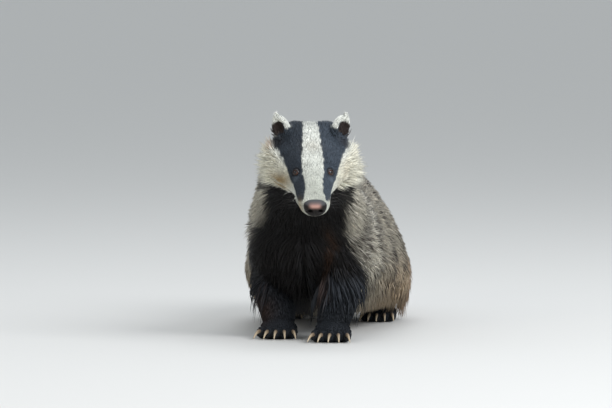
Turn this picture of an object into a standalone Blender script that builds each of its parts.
"""A European badger, life size, that has stopped and looks ahead with its head turned a little to its left.

Metres, +Z up. The animal faces -Y and its left side is +X. The floor is at Z = 0, and at the end everything
is moved so that the origin is under the middle of the whole. The tables of sections give the outline out to
the tips of the coat. Where the coat is long, a core stands back from that outline and carries the locks.
"""

import math
import random

import bmesh
import bpy
from mathutils import Matrix, Vector
from mathutils.bvhtree import BVHTree

GAP = 0.0003  # between nodes that touch

# Head: where it is carried, and how it is turned
EYES_AT = Vector((0.026, -0.365, 0.237))  # midway between the eyes
HEAD_YAW = math.radians(9.5)
HEAD_PITCH = math.radians(28)
EYE_SPACING = 0.046
EYE_RADIUS = 0.0065
LID_WIDTH = 0.0024

# Sections of a form along its own Y: place, top, widest level, bottom, half width
HEAD = (
    (-0.063, -0.010, -0.018, -0.031, 0.0140),
    (-0.055, -0.005, -0.017, -0.036, 0.0195),
    (-0.040, 0.001, -0.016, -0.039, 0.0225),
    (-0.020, 0.008, -0.014, -0.042, 0.0260),
    (0.000, 0.015, -0.012, -0.047, 0.0340),
    (0.022, 0.024, -0.012, -0.052, 0.0470),
    (0.046, 0.031, -0.012, -0.056, 0.0560),
    (0.070, 0.033, -0.010, -0.052, 0.0570),
    (0.090, 0.027, -0.010, -0.044, 0.0460),
    (0.108, 0.014, -0.011, -0.033, 0.0290),
    (0.116, 0.003, -0.012, -0.024, 0.0120),
)
TRUNK = (
    (-0.262, 0.178, 0.150, 0.122, 0.022),
    (-0.252, 0.203, 0.148, 0.096, 0.050),
    (-0.226, 0.227, 0.138, 0.075, 0.075),
    (-0.180, 0.242, 0.120, 0.064, 0.090),
    (-0.080, 0.244, 0.096, 0.054, 0.103),
    (0.050, 0.243, 0.072, 0.044, 0.114),
    (0.140, 0.240, 0.062, 0.038, 0.117),
    (0.210, 0.228, 0.064, 0.038, 0.110),
    (0.262, 0.200, 0.078, 0.050, 0.088),
    (0.292, 0.170, 0.100, 0.076, 0.056),
    (0.304, 0.150, 0.118, 0.100, 0.025),
)

# Limbs, the neck and the tail: x, y, z, half width, half depth, from the root to the end, for the left side
NECK = (
    (0.002, -0.155, 0.158, 0.080, 0.070),
    (0.005, -0.210, 0.190, 0.079, 0.068),
    (0.009, -0.255, 0.228, 0.073, 0.058),
    (0.013, -0.300, 0.254, 0.060, 0.046),
)
FORELEG = (
    (0.036, 0.042, 0.128, 0.026, 0.034),
    (0.046, 0.038, 0.090, 0.030, 0.035),
    (0.047, 0.018, 0.058, 0.027, 0.029),
    (0.042, 0.006, 0.030, 0.026, 0.027),
    (0.040, 0.004, 0.012, 0.022, 0.024),
)
HINDLEG = (
    (0.044, -0.004, 0.120, 0.027, 0.042),
    (0.059, -0.012, 0.085, 0.032, 0.043),
    (0.066, 0.010, 0.052, 0.028, 0.032),
    (0.068, 0.018, 0.030, 0.025, 0.027),
    (0.068, 0.014, 0.012, 0.022, 0.024),
)
TAIL = (
    (0.000, 0.265, 0.170, 0.030, 0.026),
    (0.002, 0.300, 0.152, 0.034, 0.030),
    (0.005, 0.340, 0.122, 0.038, 0.032),
    (0.009, 0.380, 0.088, 0.034, 0.028),
    (0.012, 0.412, 0.058, 0.019, 0.015),
    (0.013, 0.420, 0.050, 0.008, 0.006),
)
STRIDE = {
    "foreleg_left": -0.238,
    "foreleg_right": -0.185,
    "hindleg_left": 0.165,
    "hindleg_right": 0.205,
}
WRIST_LEVEL = 0.036

# Paws: length, width, length of the claws
FOREPAW = (0.062, 0.054, 0.024)
HINDPAW = (0.080, 0.050, 0.014)

# Where the whole is parted: a frame for each cut, and the low and high corner of its box there
HEAD_CELL = ((-0.13, -0.13, -0.085), (0.13, 0.100, 0.11))
EAR_CELL = ((-0.018, -0.018, 0.002), (0.018, 0.018, 0.050))
NECK_CUT = Matrix.Translation((0.004, -0.205, 0.190)) @ Matrix.Rotation(math.radians(40), 4, "X")
NECK_CELL = ((-0.5, -0.5, 0.0), (0.5, 0.5, 0.5))
TAIL_CUT = Matrix.Translation((0.004, 0.335, 0.126)) @ Matrix.Rotation(math.radians(-127), 4, "X")
TAIL_CELL = ((-0.06, -0.06, 0.0), (0.06, 0.06, 0.2))
FAR = 0.6  # past the whole on every side

# How far the core stands back from the outline, under the locks
TRUNK_COAT = 0.0155
NECK_COAT = 0.0125
TAIL_COAT = 0.0165

# Locks: how far their tips rise, length, width, thickness
TRUNK_LOCKS = (0.0125, 0.114, 0.046, 0.0055)
NECK_LOCKS = (0.0110, 0.076, 0.046, 0.0050)
CHEEK_LOCKS = (0.0030, 0.040, 0.030, 0.0040)
TAIL_LOCKS = (0.0150, 0.066, 0.028, 0.0050)

# Down a lock: place, height as a part of its lift, breadth, depth
LOCK_RINGS = ((0.0, 0.0, 0.55, 1.0), (0.26, 0.42, 1.0, 1.0), (0.62, 0.84, 0.82, 0.72), (1.0, 1.0, 0.0, 0.0))
LOCK_SINK = 0.006
LOCK_FLOOR = 0.012

# Each tier of the ruff: where it starts along the head, how many locks, and the first and last angle
CHEEK_TIERS = ((0.028, 4, 14, -62), (0.052, 5, 16, -78))

MATERIALS = {
    "white_fur": ((0.80, 0.79, 0.72), 0.8),
    "black_fur": ((0.030, 0.028, 0.030), 0.75),
    "grey_fur": ((0.33, 0.30, 0.25), 0.85),
    "nose_skin": ((0.085, 0.060, 0.058), 0.45),
    "eye_gloss": ((0.020, 0.012, 0.008), 0.08),
}
NODE_MATERIALS = {
    "head": "white_fur",
    "ear": "black_fur",
    "fore": "black_fur",
    "hind": "black_fur",
    "nose": "nose_skin",
    "eye": "eye_gloss",
}


def clear_scene():
    for obj in list(bpy.data.objects):
        bpy.data.objects.remove(obj, do_unlink=True)


def new_collection(name):
    made = bpy.data.collections.new(name)
    bpy.context.scene.collection.children.link(made)
    return made


def fur_material(name):
    colour, roughness = MATERIALS[name]
    made = bpy.data.materials.new(name)
    made.use_nodes = True
    shader = made.node_tree.nodes["Principled BSDF"]
    shader.inputs["Base Color"].default_value = (*colour, 1.0)
    shader.inputs["Roughness"].default_value = roughness
    return made


def object_of(name, bm, collection):
    """A new object that holds the bmesh, in triangles that face outwards."""
    bmesh.ops.triangulate(bm, faces=bm.faces)
    bmesh.ops.recalc_face_normals(bm, faces=bm.faces)
    if bm.calc_volume(signed=True) < 0:
        bmesh.ops.reverse_faces(bm, faces=bm.faces)
    mesh = bpy.data.meshes.new(name)
    bm.to_mesh(mesh)
    bm.free()
    made = bpy.data.objects.new(name, mesh)
    collection.objects.link(made)
    return made


def smooth_rows(rows, steps):
    """The rows, with more between them on a Catmull-Rom curve."""
    ends = [rows[0], *rows, rows[-1]]
    made = []
    for k in range(len(rows) - 1):
        before, start, end, after = (ends[k + j] for j in range(4))
        for step in range(steps):
            t = step / steps
            weights = (
                (2 * t**2 - t**3 - t) / 2,
                (3 * t**3 - 5 * t**2 + 2) / 2,
                (t + 4 * t**2 - 3 * t**3) / 2,
                (t**3 - t**2) / 2,
            )
            columns = zip(before, start, end, after)
            made.append(tuple(sum(w * x for w, x in zip(weights, column)) for column in columns))
    made.append(tuple(rows[-1]))
    return made


def loft(name, rings, collection):
    """A closed skin over rings of equal count, each end closed on its own middle."""
    bm = bmesh.new()
    loops = [[bm.verts.new(point) for point in ring] for ring in rings]
    count = len(rings[0])
    for near, far in zip(loops, loops[1:]):
        for k in range(count):
            after = (k + 1) % count
            bm.faces.new((near[k], near[after], far[after], far[k]))
    for loop in (loops[0], loops[-1]):
        middle = bm.verts.new(sum((v.co for v in loop), Vector()) / count)
        for k in range(count):
            bm.faces.new((loop[k], loop[(k + 1) % count], middle))
    return object_of(name, bm, collection)


def sectioned_form(name, rows, count, steps, place, collection, crest=1.0):
    """A form of sections across its own Y, each half an ellipse above its widest level and half below.

    A crest over 1 draws the upper half in towards a ridge.
    """
    rings = []
    for along, top, wide, bottom, half_width in smooth_rows(rows, steps):
        ring = []
        for k in range(count):
            across, height = math.cos(2 * math.pi * k / count), math.sin(2 * math.pi * k / count)
            if height > 0:
                across = math.copysign(abs(across) ** crest, across)
                level = wide + (top - wide) * height**crest
            else:
                level = wide + (wide - bottom) * height
            ring.append(place @ Vector((half_width * across, along, level)))
        rings.append(ring)
    return loft(name, rings, collection)


def inset(rows, by):
    """The rows of a sectioned form, drawn in from its outline; less so under the belly."""
    first, last = rows[0][0] + by, rows[-1][0] - by
    scale = (last - first) / (rows[-1][0] - rows[0][0])
    made = []
    for along, top, wide, bottom, half_width in rows:
        shrink = min(by, half_width * 0.4)
        along = first + (along - rows[0][0]) * scale
        bottom = min(bottom + shrink * 0.5, wide - 0.01)
        made.append((along, top - shrink, wide, bottom, half_width - shrink))
    return made


def thinner(rows, by):
    """The rows of a path form, drawn in from its outline."""
    return [(x, y, z, max(a - by, a * 0.45), max(b - by, b * 0.45)) for x, y, z, a, b in rows]


def path_frames(rows):
    """For each row of a path, its middle, the way across and the way deep, square to the path."""
    points = [Vector(row[:3]) for row in rows]
    frames = []
    for k, point in enumerate(points):
        ahead = points[min(k + 1, len(points) - 1)] - points[max(k - 1, 0)]
        ahead.normalize()
        across = Vector((1, 0, 0))
        across = (across - ahead * across.dot(ahead)).normalized()
        frames.append((point, across, ahead.cross(across), ahead))
    return frames


def path_form(name, rows, count, steps, collection):
    """A form round a bent path, with elliptical sections."""
    rows = smooth_rows(rows, steps)
    rings = []
    for row, (middle, across, deep, _) in zip(rows, path_frames(rows)):
        ring = []
        for k in range(count):
            angle = 2 * math.pi * k / count
            ring.append(middle + across * row[3] * math.cos(angle) + deep * row[4] * math.sin(angle))
        rings.append(ring)
    return loft(name, rings, collection)


def column_form(name, rows, count, steps, collection):
    """A form of level elliptical sections, one above the other."""
    rings = []
    for x, y, z, half_width, half_depth in smooth_rows(rows, steps):
        ring = []
        for k in range(count):
            angle = 2 * math.pi * k / count
            ring.append(Vector((x + half_width * math.cos(angle), y + half_depth * math.sin(angle), z)))
        rings.append(ring)
    return loft(name, rings, collection)


def ball(name, middle, radii, collection, segments=16, turn=None):
    """An ellipsoid."""
    bm = bmesh.new()
    bmesh.ops.create_uvsphere(bm, u_segments=segments, v_segments=max(4, segments // 2), radius=1.0)
    size = Matrix.Diagonal((*radii, 1.0))
    bm.transform(Matrix.Translation(middle) @ (turn or Matrix()) @ size)
    return object_of(name, bm, collection)


def box(name, place, low, high, collection):
    """A box between two corners of the frame of place."""
    low, high = Vector(low), Vector(high)
    bm = bmesh.new()
    bmesh.ops.create_cube(bm, size=1.0)
    bm.transform(place @ Matrix.Translation((low + high) / 2) @ Matrix.Diagonal((*(high - low), 1.0)))
    return object_of(name, bm, collection)


def evaluated_mesh(obj):
    graph = bpy.context.evaluated_depsgraph_get()
    return bpy.data.meshes.new_from_object(obj.evaluated_get(graph), depsgraph=graph)


def grown(obj, by, collection):
    """A copy of a smooth form that is larger all round."""
    bm = bmesh.new()
    bm.from_mesh(obj.data)
    bm.normal_update()
    for vert in bm.verts:
        vert.co += vert.normal * by
    return object_of(obj.name + "_grown", bm, collection)


def boolean(obj, operation, other):
    """Applies one Boolean with an object, or with all the objects of a collection, to obj's mesh."""
    modifier = obj.modifiers.new(operation, "BOOLEAN")
    modifier.solver = "MANIFOLD"
    modifier.operation = operation
    if isinstance(other, bpy.types.Collection):
        modifier.operand_type = "COLLECTION"
        modifier.collection = other
    else:
        modifier.object = other
    bpy.context.view_layer.update()
    mesh = evaluated_mesh(obj)
    obj.modifiers.clear()
    obj.data = mesh


def keep_largest(obj):
    """Drops all but the largest closed surface of obj."""
    bm = bmesh.new()
    bm.from_mesh(obj.data)
    left = set(bm.verts)
    pieces = []
    while left:
        stack = [left.pop()]
        piece = set(stack)
        while stack:
            for edge in stack.pop().link_edges:
                for vert in edge.verts:
                    if vert in left:
                        left.remove(vert)
                        piece.add(vert)
                        stack.append(vert)
        pieces.append(piece)
    pieces.sort(key=len)
    dropped = [vert for piece in pieces[:-1] for vert in piece]
    bmesh.ops.delete(bm, geom=dropped, context="VERTS")
    bm.to_mesh(obj.data)
    bm.free()


def join_all(first, others, name):
    """One closed body from first and the other objects, which are removed."""
    pieces = bpy.data.collections.new(name + "_pieces")
    bpy.context.scene.collection.children.link(pieces)
    for obj in others:
        for old in list(obj.users_collection):
            old.objects.unlink(obj)
        pieces.objects.link(obj)
    boolean(first, "UNION", pieces)
    for obj in list(pieces.objects):
        bpy.data.objects.remove(obj, do_unlink=True)
    bpy.data.collections.remove(pieces)
    keep_largest(first)
    first.name = name
    return first


def copy_of(obj, name, collection):
    made = obj.copy()
    made.data = obj.data.copy()
    made.name = name
    collection.objects.link(made)
    return made


HEAD_TURN = Matrix.Rotation(HEAD_YAW, 4, "Z") @ Matrix.Rotation(HEAD_PITCH, 4, "X")
HEAD_PLACE = Matrix.Translation(EYES_AT) @ HEAD_TURN
SIDES = (("left", 1), ("right", -1))


def eye_place(side):
    """The middle of an eye, and the way it looks: outwards, forwards and a little up."""
    middle = Vector((side * EYE_SPACING / 2, 0.0, 0.0005))
    look = Vector((side * 0.62, -0.55, 0.56)).normalized()
    return middle, look


def build_lids(collection):
    """A raised rim round each eye, longer than it is high."""
    rims = []
    for word, side in SIDES:
        middle, look = eye_place(side)
        bm = bmesh.new()
        bpy.ops.mesh.primitive_torus_add(
            major_segments=12, minor_segments=4, major_radius=EYE_RADIUS * 0.82, minor_radius=LID_WIDTH / 2
        )
        torus = bpy.context.active_object
        bm.from_mesh(torus.data)
        bpy.data.objects.remove(torus, do_unlink=True)
        turn = look.to_track_quat("Z", "Y").to_matrix().to_4x4()
        shape = Matrix.Diagonal((1.12, 0.86, 1.0, 1.0))
        bm.transform(HEAD_PLACE @ Matrix.Translation(middle + look * EYE_RADIUS * 0.50) @ turn @ shape)
        rims.append(object_of("lids_" + word, bm, collection))
    return rims


def build_eyes(collection):
    eyes = []
    for word, side in SIDES:
        middle, _ = eye_place(side)
        eyes.append(ball("eye_" + word, HEAD_PLACE @ middle, (EYE_RADIUS,) * 3, collection, 10))
    return eyes


NOSE_MIDDLE = Vector((0.0, -0.0625, -0.0175))
NOSE_HALF = Vector((0.0145, 0.0085, 0.0105))


def build_nose(collection, cutters):
    """The bare pad at the end of the muzzle, with a nostril on each side."""
    turn = HEAD_PLACE.to_3x3().to_4x4()
    nose = ball("nose", HEAD_PLACE @ NOSE_MIDDLE, NOSE_HALF, collection, 12, turn)
    for word, side in SIDES:
        middle = NOSE_MIDDLE + Vector((side * 0.0062, -0.0078, -0.0012))
        radii = (0.0032, 0.0042, 0.0024)
        nostril = ball("nostril_" + word, HEAD_PLACE @ middle, radii, cutters, 8, turn)
        boolean(nose, "DIFFERENCE", nostril)
        bpy.data.objects.remove(nostril, do_unlink=True)
    return nose


MOUTH_BACK = 0.012  # where its corners are, behind the eyes' level
MOUTH_LEVEL = -0.0325


def build_mouth_line(cutters):
    """A thin bent tube along the lips, which cuts the line of the closed mouth."""
    curve = bpy.data.curves.new("mouth", "CURVE")
    curve.dimensions = "3D"
    curve.bevel_depth = 0.0011
    curve.bevel_resolution = 0
    curve.use_fill_caps = True
    spline = curve.splines.new("POLY")
    points = []
    steps = 12
    for k in range(steps + 1):
        turn = math.pi * k / steps
        along = MOUTH_BACK - (MOUTH_BACK + 0.0555) * math.sin(turn) ** 0.75
        across = 0.0315 * math.cos(turn)
        droop = 0.004 * math.cos(turn) ** 2
        points.append(HEAD_PLACE @ Vector((across, along, MOUTH_LEVEL - droop)))
    spline.points.add(len(points) - 1)
    for target, point in zip(spline.points, points):
        target.co = (*point, 1.0)
    obj = bpy.data.objects.new("mouth", curve)
    cutters.objects.link(obj)
    bpy.context.view_layer.update()
    mesh = evaluated_mesh(obj)
    bm = bmesh.new()
    bm.from_mesh(mesh)
    bmesh.ops.remove_doubles(bm, verts=bm.verts, dist=1e-6)
    bpy.data.objects.remove(obj, do_unlink=True)
    return object_of("mouth_line", bm, cutters)


EAR_BASE = Vector((0.0385, 0.064, 0.022))
EAR_HEIGHT = 0.034
EAR_HALF_WIDTH = 0.0150
EAR_THICK = 0.0105


def ear_place(side):
    """The frame of an ear: its Z runs up to the tip and its -Y is the way the cup faces."""
    lean = Matrix.Rotation(math.radians(-26), 4, "X") @ Matrix.Rotation(side * math.radians(16), 4, "Y")
    face = Matrix.Rotation(side * math.radians(28), 4, "Z")
    middle = Vector((side * EAR_BASE.x, EAR_BASE.y, EAR_BASE.z))
    return HEAD_PLACE @ Matrix.Translation(middle) @ lean @ face


def build_ear(word, side, collection, cutters):
    """A short rounded ear: a thick leaf with the cup hollowed out of its front."""
    place = ear_place(side)
    radii = (EAR_HALF_WIDTH, EAR_THICK, EAR_HEIGHT * 0.58)
    leaf = ball("ear_" + word, Vector((0, 0, EAR_HEIGHT * 0.42)), radii, collection, 14)
    leaf.data.transform(place)
    middle = Vector((0, -EAR_THICK * 0.80, EAR_HEIGHT * 0.44))
    radii = (EAR_HALF_WIDTH * 0.76, EAR_THICK * 0.98, EAR_HEIGHT * 0.44)
    hollow = ball("cup_" + word, middle, radii, cutters, 10)
    hollow.data.transform(place)
    boolean(leaf, "DIFFERENCE", hollow)
    bpy.data.objects.remove(hollow, do_unlink=True)
    return leaf


TOES = 5


def build_foot(word, rows, at, side, foot, collection):
    """The leg's own form, and the pieces of its paw: a pad, five toes and their claws."""
    length, width, claw = foot
    placed = [(side * x, y + at, z, a, b) for x, y, z, a, b in rows]
    leg = column_form(word, placed, 10, 2, collection)
    heel = Vector((side * rows[-1][0], at, 0.0))
    middle = heel + Vector((0, -length * 0.08, 0.010))
    pad = ball("pad_" + word, middle, (width / 2, length / 2, 0.021), collection, 10)
    pieces = [pad]
    for k in range(TOES):
        spread = (k - (TOES - 1) / 2) / ((TOES - 1) / 2)
        fan = spread * math.radians(16)
        across = spread * (width / 2 - 0.0065)
        ahead = -length * (0.50 - 0.09 * spread * spread)
        ahead_of = Vector((math.sin(fan), -math.cos(fan), 0))
        root = heel + Vector((across, ahead, 0.0085))
        turn = Matrix.Rotation(fan, 4, "Z")
        pieces.append(ball(f"toe_{word}_{k}", root, (0.0068, 0.0125, 0.0095), collection, 6, turn))
        pieces.append(claw_form(f"claw_{word}_{k}", root + ahead_of * 0.0085, ahead_of, claw, collection))
    return leg, pieces


def claw_form(name, root, ahead, length, collection):
    """A claw that leaves the toe level and curves down to a blunt point just clear of the floor."""
    rows = []
    for k in range(3):
        t = k / 2
        point = root + ahead * length * t + Vector((0, 0, 0.0015 - 0.0075 * t * t))
        rows.append((*point, 0.0023 * (1 - 0.75 * t), 0.0028 * (1 - 0.75 * t)))
    return path_form(name, rows, 4, 1, collection)


def flatten_sole(obj):
    """Cuts everything under the floor level off and closes the sole."""
    bm = bmesh.new()
    bm.from_mesh(obj.data)
    cut = bmesh.ops.bisect_plane(
        bm, geom=[*bm.verts, *bm.edges, *bm.faces], plane_co=(0, 0, 0), plane_no=(0, 0, 1), clear_inner=True
    )
    edges = [item for item in cut["geom_cut"] if isinstance(item, bmesh.types.BMEdge)]
    bmesh.ops.triangle_fill(bm, edges=edges, use_beauty=True)
    bmesh.ops.recalc_face_normals(bm, faces=bm.faces)
    bm.to_mesh(obj.data)
    bm.free()


def lock_form(name, body, root, way, sizes, cling, rise, rng, collection):
    """One lock: flat, tapered and bent, its root sunk in the body and its tip clear of it.

    With cling 1 it lies along the body and with cling 0 it runs straight on, leaving at the angle of rise.
    """
    lift, length, width, thick = sizes
    length *= rng.uniform(0.82, 1.12)
    width *= rng.uniform(0.85, 1.15)
    lift *= rng.uniform(0.75, 1.0)
    curl = rng.uniform(-0.10, 0.10) * length
    place, normal, _, _ = body.find_nearest(root)
    way = (way - normal * way.dot(normal)).normalized()
    way = Matrix.Rotation(rng.uniform(-0.16, 0.16), 3, normal) @ way
    way = (way * math.cos(rise) + normal * math.sin(rise)).normalized()
    bm = bmesh.new()
    loops = []
    last = 0.0
    for t, height, breadth, depth in LOCK_RINGS:
        ahead = place + way * length * (t - last)
        last = t
        near, near_normal, _, _ = body.find_nearest(ahead)
        place = ahead.lerp(near, cling)
        normal = normal.lerp(near_normal, cling).normalized()
        way = (way - normal * way.dot(normal) * cling).normalized()
        side = way.cross(normal).normalized()
        middle = place + normal * (height * lift) + side * (curl * t * t)
        if t == 0.0:
            middle -= (way * 0.5 + normal) * LOCK_SINK
        middle.z = max(middle.z, LOCK_FLOOR)
        across, deep = side * (width * breadth / 2), side.cross(way) * (thick * depth)
        corners = (middle + across, middle + deep, middle - across) if breadth else (middle,)
        loops.append([bm.verts.new(corner) for corner in corners])
    for near, far in zip(loops, loops[1:]):
        for k in range(3):
            after = (k + 1) % 3
            rest = (far[after], far[k]) if len(far) > 1 else (far[0],)
            bm.faces.new((near[k], near[after], *rest))
    bm.faces.new(loops[0])
    return object_of(name, bm, collection)


def lie_of(point, normal):
    """The way the long coat lies: back along the spine, more and more down the flanks, down the chest."""
    low = min(max((0.21 - point.z) / 0.12, 0.0), 1.0)
    behind = min(max((point.y + 0.25) / 0.50, 0.0), 1.0)
    if point.z > 0.19 and point.y < -0.17:
        return Vector((0.0, 0.85, -0.50))
    if normal.y < -0.6:
        return Vector((0.35 * math.copysign(1, point.x), 0.10, -1.0))
    return Vector((0.0, 1.0, -low * (0.30 + 0.75 * behind) - 0.02))


def trunk_locks(body, rng, collection):
    """Staggered rows from the shoulders to the rump, over the back and down both flanks."""
    made = []
    rows, columns, reach = 8, 9, 112.0
    for row in range(rows):
        level = -0.230 + row * 0.068
        for column in range(columns + row % 2):
            turn = math.radians(-reach + 2 * reach * (column + 0.5 * (1 - row % 2)) / columns)
            turn += rng.uniform(-0.05, 0.05)
            middle = Vector((0.0, level + rng.uniform(-0.008, 0.008), 0.118))
            root, normal, _, gone = body.ray_cast(middle, Vector((math.sin(turn), 0.0, math.cos(turn))))
            if root is None or gone > 0.16 or (level < -0.15 and abs(turn) < 1.05):
                continue
            cling = 0.92 if root.z > 0.10 else 0.30
            name = f"trunk_lock_{row}_{column}"
            way = lie_of(root, normal)
            made.append(lock_form(name, body, root, way, TRUNK_LOCKS, cling, 0.06, rng, collection))
    return made


def chest_locks(body, rng, collection):
    """Shorter locks down the front of the chest."""
    made = []
    lift, length, width, thick = TRUNK_LOCKS
    sizes = (lift, length * 0.62, width * 0.85, thick)
    for row in range(3):
        for column in range(2 + row % 2):
            across = (column - (1 + row % 2) / 2) * 0.042
            start = Vector((across, -0.45, 0.165 - row * 0.034))
            root, normal, _, _ = body.ray_cast(start, Vector((0.0, 1.0, 0.0)))
            if root is not None and root.y < -0.15:
                name = f"chest_lock_{row}_{column}"
                way = lie_of(root, normal)
                made.append(lock_form(name, body, root, way, sizes, 0.9, 0.05, rng, collection))
    return made


def ring_locks(word, body, rows, places, count, sizes, cling, rise, backwards, rng, collection):
    """Rings of locks round a path, which lie along it: with backwards, towards its first row."""
    made = []
    frames = path_frames(rows)
    for ring, place in enumerate(places):
        index = min(int(place), len(rows) - 2)
        near, far = frames[index], frames[index + 1]
        middle, across, deep, ahead = (a.lerp(b, place - index) for a, b in zip(near, far))
        size = max(rows[index][3], rows[index + 1][3])
        for k in range(count):
            turn = 2 * math.pi * (k + 0.5 * (ring % 2)) / count + rng.uniform(-0.08, 0.08)
            ray = (across * math.cos(turn) + deep * math.sin(turn)).normalized()
            root, normal, _, gone = body.ray_cast(middle, ray)
            if root is None or gone > size * 1.35:
                continue
            way = -ahead if backwards else ahead
            name = f"{word}_lock_{ring}_{k}"
            made.append(lock_form(name, body, root, way, sizes, cling, rise, rng, collection))
    return made


def cheek_locks(body, rng, collection):
    """The ruff: tiers of locks that stand out sideways from each cheek, from under the ear to the jaw."""
    made = []
    turn_back = HEAD_TURN.to_3x3()
    for word, side in SIDES:
        for tier, (along, count, top, low) in enumerate(CHEEK_TIERS):
            middle = HEAD_PLACE @ Vector((side * 0.010, along, -0.012))
            for k in range(count):
                turn = math.radians(top + (low - top) * (k + 0.5 * (tier % 2)) / (count - 0.5))
                ray = turn_back @ Vector((side * math.cos(turn), 0.0, math.sin(turn)))
                root, _, _, _ = body.ray_cast(middle, ray)
                if root is None:
                    continue
                way = turn_back @ Vector((side * 0.35 * math.cos(turn), 1.0, 0.9 * math.sin(turn) - 0.25))
                name = f"cheek_lock_{word}_{tier}_{k}"
                rise = math.radians(rng.uniform(15, 25) - (8 if k == 0 else 0))
                made.append(lock_form(name, body, root, way, CHEEK_LOCKS, 0.0, rise, rng, collection))
    return made


def part_off(whole, name, place, low, high, parts, cutters):
    """Parts the region of a box off the whole as its own node, and leaves the gap round it."""
    low, high = Vector(low), Vector(high)
    gap = Vector((GAP, GAP, GAP))
    node = copy_of(whole, name, parts)
    cell = box(name + "_cell", place, low, high, cutters)
    around = box(name + "_around", place, low - gap, high + gap, cutters)
    boolean(node, "INTERSECT", cell)
    boolean(whole, "DIFFERENCE", around)
    keep_largest(node)
    for cutter in (cell, around):
        bpy.data.objects.remove(cutter, do_unlink=True)
    return node


def build_legs(parts, cutters):
    """Four legs, each with its paw; returns the leg forms grown by the gap, to cut their sockets with."""
    sockets = []
    for name, stride in STRIDE.items():
        side = 1 if name.endswith("left") else -1
        fore = name.startswith("fore")
        rows = FORELEG if fore else HINDLEG
        foot = FOREPAW if fore else HINDPAW
        leg, pieces = build_foot(name, rows, stride, side, foot, parts)
        sockets.append(grown(leg, GAP, cutters))
        join_all(leg, pieces, name)
        flatten_sole(leg)
        paw_name = name.replace("leg", "paw")
        below = ((-FAR, -FAR, -FAR), (FAR, FAR, WRIST_LEVEL))
        part_off(leg, paw_name, Matrix(), *below, parts, cutters)
        keep_largest(leg)
    return sockets


def build_locks(whole, parts):
    """All the locks of the long coat, on the surface of the whole core."""
    bm = bmesh.new()
    bm.from_mesh(whole.data)
    body = BVHTree.FromBMesh(bm)
    bm.free()
    rng = random.Random(5)
    return [
        *trunk_locks(body, rng, parts),
        *chest_locks(body, rng, parts),
        *ring_locks("neck", body, NECK, (0.8, 1.8, 2.85), 7, NECK_LOCKS, 0.9, 0.05, True, rng, parts),
        *ring_locks("tail", body, TAIL, (1.2, 2.1, 3.0), 5, TAIL_LOCKS, 0.5, 0.12, False, rng, parts),
        *cheek_locks(body, rng, parts),
    ]


def build():
    clear_scene()
    parts = new_collection("european_badger")
    cutters = new_collection("cutters")

    head = sectioned_form("head_form", HEAD, 24, 2, HEAD_PLACE, parts)
    neck = path_form("neck_form", thinner(NECK, NECK_COAT), 20, 3, parts)
    trunk = sectioned_form("trunk_form", inset(TRUNK, TRUNK_COAT), 22, 2, Matrix(), parts, 1.35)
    tail = path_form("tail_form", thinner(TAIL, TAIL_COAT), 12, 2, parts)
    ears = [build_ear(word, side, parts, cutters) for word, side in SIDES]
    whole = join_all(trunk, [neck, tail, head, *ears, *build_lids(parts)], "torso")
    join_all(whole, build_locks(whole, parts), "torso")

    eyes = build_eyes(parts)
    nose = build_nose(parts, cutters)
    sockets = [grown(form, GAP, cutters) for form in [*eyes, nose]]
    for cutter in [*sockets, *build_legs(parts, cutters), build_mouth_line(cutters)]:
        boolean(whole, "DIFFERENCE", cutter)
        bpy.data.objects.remove(cutter, do_unlink=True)

    head = part_off(whole, "head", HEAD_PLACE, *HEAD_CELL, parts, cutters)
    for word, side in SIDES:
        part_off(head, "ear_" + word, ear_place(side), *EAR_CELL, parts, cutters)
    part_off(whole, "neck", NECK_CUT, *NECK_CELL, parts, cutters)
    part_off(whole, "tail", TAIL_CUT, *TAIL_CELL, parts, cutters)
    for node in (whole, head):
        keep_largest(node)
    finish(parts.objects)


def material_of(name):
    for word, material in NODE_MATERIALS.items():
        if name.startswith(word):
            return material
    return "grey_fur"


def finish(nodes):
    """Gives each node its material, and moves them all so that the origin is under their middle."""
    points = [vert.co for node in nodes for vert in node.data.vertices]
    low, high = ([pick(point[axis] for point in points) for axis in range(3)] for pick in (min, max))
    to_origin = Matrix.Translation((-(low[0] + high[0]) / 2, -(low[1] + high[1]) / 2, 0.0))
    for node in nodes:
        material = material_of(node.name)
        made = bpy.data.materials.get(material) or fur_material(material)
        node.data.materials.clear()
        node.data.materials.append(made)
        node.data.transform(to_origin)


build()
